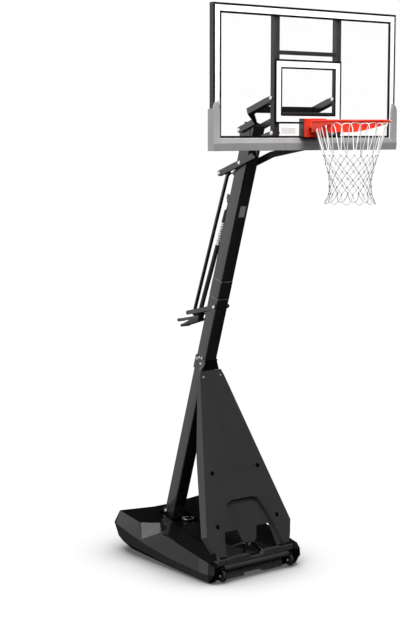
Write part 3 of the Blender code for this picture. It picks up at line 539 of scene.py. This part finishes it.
def finish_pole():
    """The pole's three lengths with pale strips at their seams as painted highlight, its brackets and bolts,
    and a blank label.
    """
    pole_tube("pole_lower", 0.207, 1.856, POLE_HALF, "pole_lower_finished")
    pole_tube("pole_collar", 1.856, 1.981, POLE_HALF + 0.0008, "pole_collar_finished")
    pole_tube("pole_upper", 1.981, 3.022, POLE_HALF, "pole_upper_finished")
    refine("pole_cap", 0.0025, 3)
    refine("pole_foot_bracket", 0.0012)
    refine("pole_head_bracket", 0.0012)
    refine("assist_bracket", 0.0012)
    for name, centre, half in (
        ("link_pivot_bolt", LINK_PIVOT, 0.0623),
        ("lower_pivot_bolt", LOWER_PIVOT, 0.0803),
        ("upper_pivot_bolt", UPPER_PIVOT, 0.0803),
        ("pole_foot_bolt", Vector((0, 0.425, 0.250)), 0.0554),
    ):
        through_bolt(f"{name}_finished", name, half, centre, 0.0115, 0.006)
    # Thin pale grey bands at the joints: painted highlight where the seam edges catch light.
    for name, height in (("low", 1.856), ("high", 1.981)):
        seam_highlight = []
        for half, z in ((0.0519, -0.0011), (0.0519, 0.0011), (0.0511, 0.0011), (0.0511, -0.0011)):
            seam_highlight.append([(x, y, z) for x, y in rounded(half, half, 0.0095)])
        piece(f"pole_seam_highlight_{name}", loft(seam_highlight, looped=True), "frame_steel", "stand", at=pole_axis(height),
              tilt=POLE_TILT, material=LABEL_GREY)
    label = rounded(0.024, 0.0395, 0.004)
    label_height, aside = 2.464, 0.003
    front = -POLE_HALF - 0.0001
    rings = [[(x + aside, front - t, z) for x, z in label] for t in (0.0, 0.0005)]
    piece("pole_label", loft(rings), "frame_steel", "stand", at=pole_axis(label_height), tilt=POLE_TILT,
          material=LABEL_GREY)
    shape = bmesh.new()
    for y, z in ((0.054, 1.413), (0.028, 1.423), (0.001, 1.422), (0.013, 1.380)):
        for side in (-1, 1):
            bolt_head(shape, (side * (POLE_HALF + 0.0043), y, z), (side, 0, 0), 0.0075, 0.006)
    piece("pole_bracket_bolts", shape, "zinc", "stand")


# ------------------------------------------------------------------------------------ lift
def finish_lift():
    """The four arms that carry the board, their cross tube and their bolts."""
    for level in ("upper", "lower"):
        for name, _ in SIDES:
            refine(f"{level}_arm_{name}", 0.0035, 3)
    refine("upper_cross_tube", 0.003, 3)
    pin = LOWER_PIVOT + Vector((0, ARM_TAIL * math.cos(ARM_TILT), -ARM_TAIL * math.sin(ARM_TILT)))
    through_bolt("push_rod_pin_finished", "push_rod_pin", 0.0803, pin, 0.0115, 0.006)
    forward = Vector((0, -ARM_LEN * math.cos(ARM_TILT), ARM_LEN * math.sin(ARM_TILT)))
    for level, pivot in (("upper", UPPER_PIVOT), ("lower", LOWER_PIVOT)):
        for name, side in SIDES:
            eye = pivot + forward
            centre = (side * 0.2585, eye.y, eye.z)
            through_bolt(f"{level}_board_bolt_{name}_finished", f"{level}_board_bolt_{name}", 0.0278,
                         centre, 0.0105, 0.0055)


def label_band(shape, low, high, half_angle, inner, outer, steps=12):
    """Part of a thin sleeve round the strut's tube, facing back and to the left."""
    face_on = math.radians(-128)
    rings = []
    for i in range(steps + 1):
        angle = face_on - half_angle + 2 * half_angle * i / steps
        u, v = math.cos(angle), math.sin(angle)
        corners = ((inner, low), (outer, low), (outer, high), (inner, high))
        rings.append([(r * u, r * v, z) for r, z in corners])
    loft(rings, shape=shape)


def finish_linkage():
    """The push rod, handle link, lock and strut, and a blank label with ticks on the strut."""
    refine("push_rod", 0.001)
    refine("handle_link", 0.0018)
    refine("lock_housing", 0.0015)
    refine("squeeze_lever", 0.002)
    refine("assist_rod", 0.001)
    refine("assist_tube", 0.0015)
    tilt = math.atan2(LOCK_PIVOT.y - ASSIST_PIVOT.y, ASSIST_PIVOT.z - LOCK_PIVOT.z)
    sticker, ticks = bmesh.new(), bmesh.new()
    label_band(sticker, -0.322, -0.155, math.radians(75), 0.01605, 0.01645)
    tick_step, tick_height = 0.0175, 0.0035
    for i in range(9):
        z = -0.308 + tick_step * i
        label_band(ticks, z, z + tick_height, math.radians(52 if i % 2 else 30), 0.0164, 0.0167)
    piece("tube_label", sticker, "frame_steel", "assist", at=ASSIST_PIVOT, tilt=tilt, material=PRINT_WHITE)
    piece("tube_label_ticks", ticks, "frame_steel", "assist", at=ASSIST_PIVOT, tilt=tilt,
          material=PRINT_BLACK)


# ------------------------------------------------------------------------------------ board
def border(shape, x0, x1, z0, z1, width, y0, y1):
    """A mitred rectangular ring of print, flat on the glass."""
    outer = [(x0, z0), (x1, z0), (x1, z1), (x0, z1)]
    inner = [(x0 + width, z0 + width), (x1 - width, z0 + width), (x1 - width, z1 - width),
             (x0 + width, z1 - width)]
    loops = [[(x, y0, z) for x, z in outer], [(x, y1, z) for x, z in outer],
             [(x, y1, z) for x, z in inner], [(x, y0, z) for x, z in inner]]
    loft(loops, looped=True, shape=shape)


def finish_board():
    """The glass with its printed lines, its frame, the uprights and crossbars, and the pads."""
    for side in ("bottom", "top", "left", "right"):
        refine(f"board_frame_{side}", 0.001)
    for name, _ in SIDES:
        refine(f"board_upright_{name}", 0.003, 3)
        refine(f"pad_{name}", 0.0025, 3)
    refine("pad_centre", 0.0025, 3)
    for level in ("upper", "lower"):
        refine(f"board_crossbar_{level}", 0.0025, 3)
    refine("glass_panel", 0.0008, 1)
    front, ink = BOARD_Y - 0.0001, BOARD_Y - 0.0004
    black, white = bmesh.new(), bmesh.new()
    x, low, high = BOARD_HALF, BOARD_BOTTOM, BOARD_TOP
    edge, line, band = 0.0005, 0.0130, 0.048
    border(black, -x + edge, x - edge, low + edge, high - edge, line, ink, front)
    at = edge + line
    border(white, -x + at, x - at, low + at + 0.020, high - at, band - at, ink, front)
    border(black, -x + band - 0.001, x - band + 0.001, 2.939, high - band, 0.0130, ink, front)
    half, bottom, top = 0.275, 3.0295, 3.4165
    border(black, -half - 0.003, half + 0.003, bottom - 0.003, top + 0.003, 0.012, ink, front)
    border(white, -half + 0.009, half - 0.009, bottom + 0.009, top - 0.009, 0.035, ink, front)
    border(black, -half + 0.044, half - 0.044, bottom + 0.044, top - 0.044, 0.011, ink, front)
    plate = loft([[(x - 0.160, y, z + 2.983) for x, z in rounded(0.058, 0.018, 0.004)]
                  for y in (BOARD_Y + 0.0066, BOARD_Y + 0.0072)])
    piece("board_label", plate, "silver_pad", "board", material=LABEL_PALE)
    piece("board_print_white", white, "board_glass", "board", material=PRINT_WHITE)
    piece("board_print_black", black, "board_glass", "board", material=PRINT_BLACK)


# ------------------------------------------------------------------------------------ rim
def finish_rim():
    """The ring, the box and brace that carry it, and the hooks for the net."""
    refine("rim_housing", 0.0015)
    refine("rim_box", 0.003, 3)
    refine("rim_brace", 0.0)
    turns = 96
    rings = []
    for i in range(turns):
        angle = 2 * math.pi * i / turns
        rings.append([(u * math.sin(angle), RING_Y + u * math.cos(angle), RING_Z + v)
                      for u, v in circle(0.008, 14, (RING_R, 0))])
    piece("rim_ring_finished", loft(rings, looped=True), "rim_paint", "rim", ("rim_ring",))
    shape = bmesh.new()
    for i in range(HOOKS):
        angle = HOOK_TURN + HOOK_STEP * i
        out = Vector((math.sin(angle), math.cos(angle), 0))
        centre = Vector((0, RING_Y, 3.034)) + out * (RING_R - 0.006)
        points = []
        for k in range(9):
            bend = math.radians(-20 + 215 * k / 8)
            inward, down = 0.007 * (1 - math.cos(bend)), 0.010 * math.sin(bend)
            points.append(centre - out * inward - Vector((0, 0, down)))
        tube(points, 0.0019, 6, shape=shape)
    piece("net_hooks", shape, "rim_paint", "rim")


# height and radius of the net, from the ring down
NET_PROFILE = ((3.040, 0.2225), (3.028, 0.219), (2.93, 0.194), (2.80, 0.156), (2.74, 0.139),
               (2.68, 0.128), (2.60, 0.131), (2.538, 0.158))


def net_radius(z):
    """The net's radius at this height."""
    for (z0, r0), (z1, r1) in zip(NET_PROFILE, NET_PROFILE[1:]):
        if z >= z1:
            return r0 + (r1 - r0) * (z0 - z) / (z0 - z1)
    return NET_PROFILE[-1][1]


def net_point(angle, z, inset=0.0):
    """A point on the net at this angle and height, or this far inside it."""
    radius = net_radius(z) - inset
    return Vector((radius * math.sin(angle), RING_Y + radius * math.cos(angle), z))


def finish_net():
    """Loops over the hooks, rows of knotted diamonds and a scalloped end."""
    shape, low_cords, knots = bmesh.new(), bmesh.new(), bmesh.new()
    rows = (2.833, 2.782, 2.732, 2.688, 2.645, 2.600)
    cord, knot = 0.0026, 0.0042
    mesh_cord, end_cord = cord * 0.72, cord * 0.75
    for i in range(HOOKS):
        middle = HOOK_TURN + HOOK_STEP * i
        points = []
        arch = ((0.5, 2.833), (0.45, 2.858), (0.40, 2.89), (0.36, 2.93), (0.335, 2.97), (0.31, 3.000),
                (0.25, 3.020), (0.13, 3.0285))
        for share, z in arch:
            points.append(net_point(middle - HOOK_STEP * share, z))
        points.append(net_point(middle, 3.030))
        for share, z in reversed(arch):
            points.append(net_point(middle + HOOK_STEP * share, z))
        tube(points, cord, 8, shape=shape)
    for k, (high, low) in enumerate(zip(rows, rows[1:])):
        for i in range(HOOKS):
            top = HOOK_TURN + HOOK_STEP * (i + (0.5 if k % 2 == 0 else 0.0))
            for way in (-0.5, 0.5):
                points = []
                for t in (0.0, 0.25, 0.5, 0.75, 1.0):
                    bow = 0.0015 * math.sin(math.pi * t)
                    points.append(net_point(top + HOOK_STEP * way * t, high + (low - high) * t, bow))
                tube(points, mesh_cord, 6, shape=low_cords)
    for k, z in enumerate(rows):
        for i in range(HOOKS):
            angle = HOOK_TURN + HOOK_STEP * (i + (0.5 if k % 2 == 0 else 0.0))
            ball(net_point(angle, z), knot, knots, (1, 1, 1.25))
    last = len(rows) - 1
    for i in range(HOOKS):
        start = HOOK_TURN + HOOK_STEP * (i + (0.5 if last % 2 == 0 else 0.0))
        points = []
        for t in [j / 12 for j in range(13)]:
            drop = 0.059 * math.sin(math.pi * t) ** 0.7 if 0 < t < 1 else 0.0
            points.append(net_point(start + HOOK_STEP * t, rows[last] - drop))
        tube(points, end_cord, 6, shape=low_cords)
    piece("net_loops", shape, "net_cord", "rim", ("net",))
    # The lower diamonds and scalloped end are grey rather than white cord: painted shade.
    piece("net_mesh", low_cords, "net_cord", "rim", material=CORD_PAINTED_SHADE)
    # The knots are dark grey rather than white cord: painted shade.
    piece("net_knots", knots, "net_cord", "rim", material=KNOT_PAINTED_SHADE)


# ------------------------------------------------------------------------------------ studio
def add_camera(scene):
    scene.view_settings.view_transform = "Standard"
    scene.view_settings.look = "None"
    camera = bpy.data.objects.new("camera", bpy.data.cameras.new("camera"))
    scene.collection.objects.link(camera)
    camera.data.sensor_width = 36
    camera.data.lens = 82.87
    camera.location = (-6.0604, -7.6563, 2.9602)
    camera.rotation_euler = Euler((math.radians(90 - 6.985), 0, math.radians(-38.03)))
    camera.data.clip_end = 200
    scene.camera = camera


def add_world(scene):
    """White to the camera, and for everything else a dim room with one soft glow at the back left."""
    world = bpy.data.worlds.new("studio")
    scene.world = world
    world.use_nodes = True
    nodes, links = world.node_tree.nodes, world.node_tree.links
    background = nodes["Background"]
    where = nodes.new("ShaderNodeTexCoord")
    lobe = nodes.new("ShaderNodeVectorMath")
    lobe.operation = "DOT_PRODUCT"
    lobe.inputs[1].default_value = Vector((-0.72, 0.58, 0.32)).normalized()
    links.new(where.outputs["Generated"], lobe.inputs[0])

    def step(operation, first, second):
        node = nodes.new("ShaderNodeMath")
        node.operation = operation
        links.new(first, node.inputs[0])
        node.inputs[1].default_value = second
        return node.outputs["Value"]

    glow = step("POWER", step("MAXIMUM", lobe.outputs["Value"], 0.0), 5.0)
    glow = step("ADD", step("MULTIPLY", glow, 2.0), 0.012)
    path = nodes.new("ShaderNodeLightPath")
    pick = nodes.new("ShaderNodeMix")
    pick.data_type = "FLOAT"
    pick.inputs["B"].default_value = 1.0
    links.new(path.outputs["Is Camera Ray"], pick.inputs["Factor"])
    links.new(glow, pick.inputs["A"])
    background.inputs["Color"].default_value = (1, 1, 1, 1)
    links.new(pick.outputs["Result"], background.inputs["Strength"])


def add_lights(scene):
    """Four soft lamps, each aimed at a point on the object."""
    def light(name, at, target, size, power):
        lamp = bpy.data.objects.new(name, bpy.data.lights.new(name, "AREA"))
        lamp.data.shape = "RECTANGLE"
        lamp.data.size, lamp.data.size_y = size
        lamp.data.energy = power
        lamp.location = at
        lamp.rotation_euler = (Vector(target) - Vector(at)).to_track_quat("-Z", "Y").to_euler()
        scene.collection.objects.link(lamp)

    light("front", (-3.0, -7.6, 5.4), (0, -0.6, 2.0), (4.0, 4.5), 270)
    light("left", (-6.0, 0.5, 1.6), (0, 0.0, 1.2), (2.5, 2.2), 80)
    light("right", (8.0, 1.6, 4.0), (0, 0.0, 1.9), (3.5, 3.5), 170)
    light("top", (-0.5, -2.4, 5.8), (0, -1.0, 3.3), (2.6, 1.6), 190)


def add_floor(scene):
    """A pale floor that glows evenly, with a painted contact shadow: it glows less where the object stands
    close over it.
    """
    ground = bmesh.new()
    bmesh.ops.create_grid(ground, x_segments=1, y_segments=1, size=60)
    mesh = bpy.data.meshes.new("floor")
    ground.to_mesh(mesh)
    ground.free()
    floor = bpy.data.objects.new("floor", mesh)
    floor.location.z = -0.0008
    scene.collection.objects.link(floor)
    material = bpy.data.materials.new("floor")
    material.use_nodes = True
    shader = material.node_tree.nodes["Principled BSDF"]
    shader.inputs["Base Color"].default_value = (0.02, 0.02, 0.02, 1)
    shader.inputs["Roughness"].default_value = 1.0
    shader.inputs["Specular IOR Level"].default_value = 0.0
    shader.inputs["Emission Color"].default_value = (1, 1, 1, 1)
    # Painted contact shadow: the floor's glow is turned down by ambient occlusion under and around the
    # object.
    shade = material.node_tree.nodes.new("ShaderNodeAmbientOcclusion")
    shade.samples = 24
    shade.inputs["Distance"].default_value = 0.55
    painted_contact_shadow = material.node_tree.nodes.new("ShaderNodeMapRange")
    painted_contact_shadow.inputs["From Min"].default_value = 0.40
    painted_contact_shadow.inputs["From Max"].default_value = 0.97
    painted_contact_shadow.inputs["To Min"].default_value = 0.10
    painted_contact_shadow.inputs["To Max"].default_value = 1.0
    material.node_tree.links.new(shade.outputs["AO"], painted_contact_shadow.inputs["Value"])
    material.node_tree.links.new(painted_contact_shadow.outputs["Result"], shader.inputs["Emission Strength"])
    mesh.materials.append(material)
    floor.visible_diffuse = False
    floor.visible_glossy = False


def main():
    finish_base()
    finish_cap()
    finish_wheels()
    finish_shield()
    finish_pole()
    finish_lift()
    finish_linkage()
    finish_board()
    finish_rim()
    finish_net()
    for node, obj in frame["nodes"].items():
        obj.data.materials.clear()
        obj.data.materials.append(LOOK[NODE_SLOT[node]])
    scene = bpy.context.scene
    add_camera(scene)
    add_world(scene)
    add_lights(scene)
    add_floor(scene)


main()
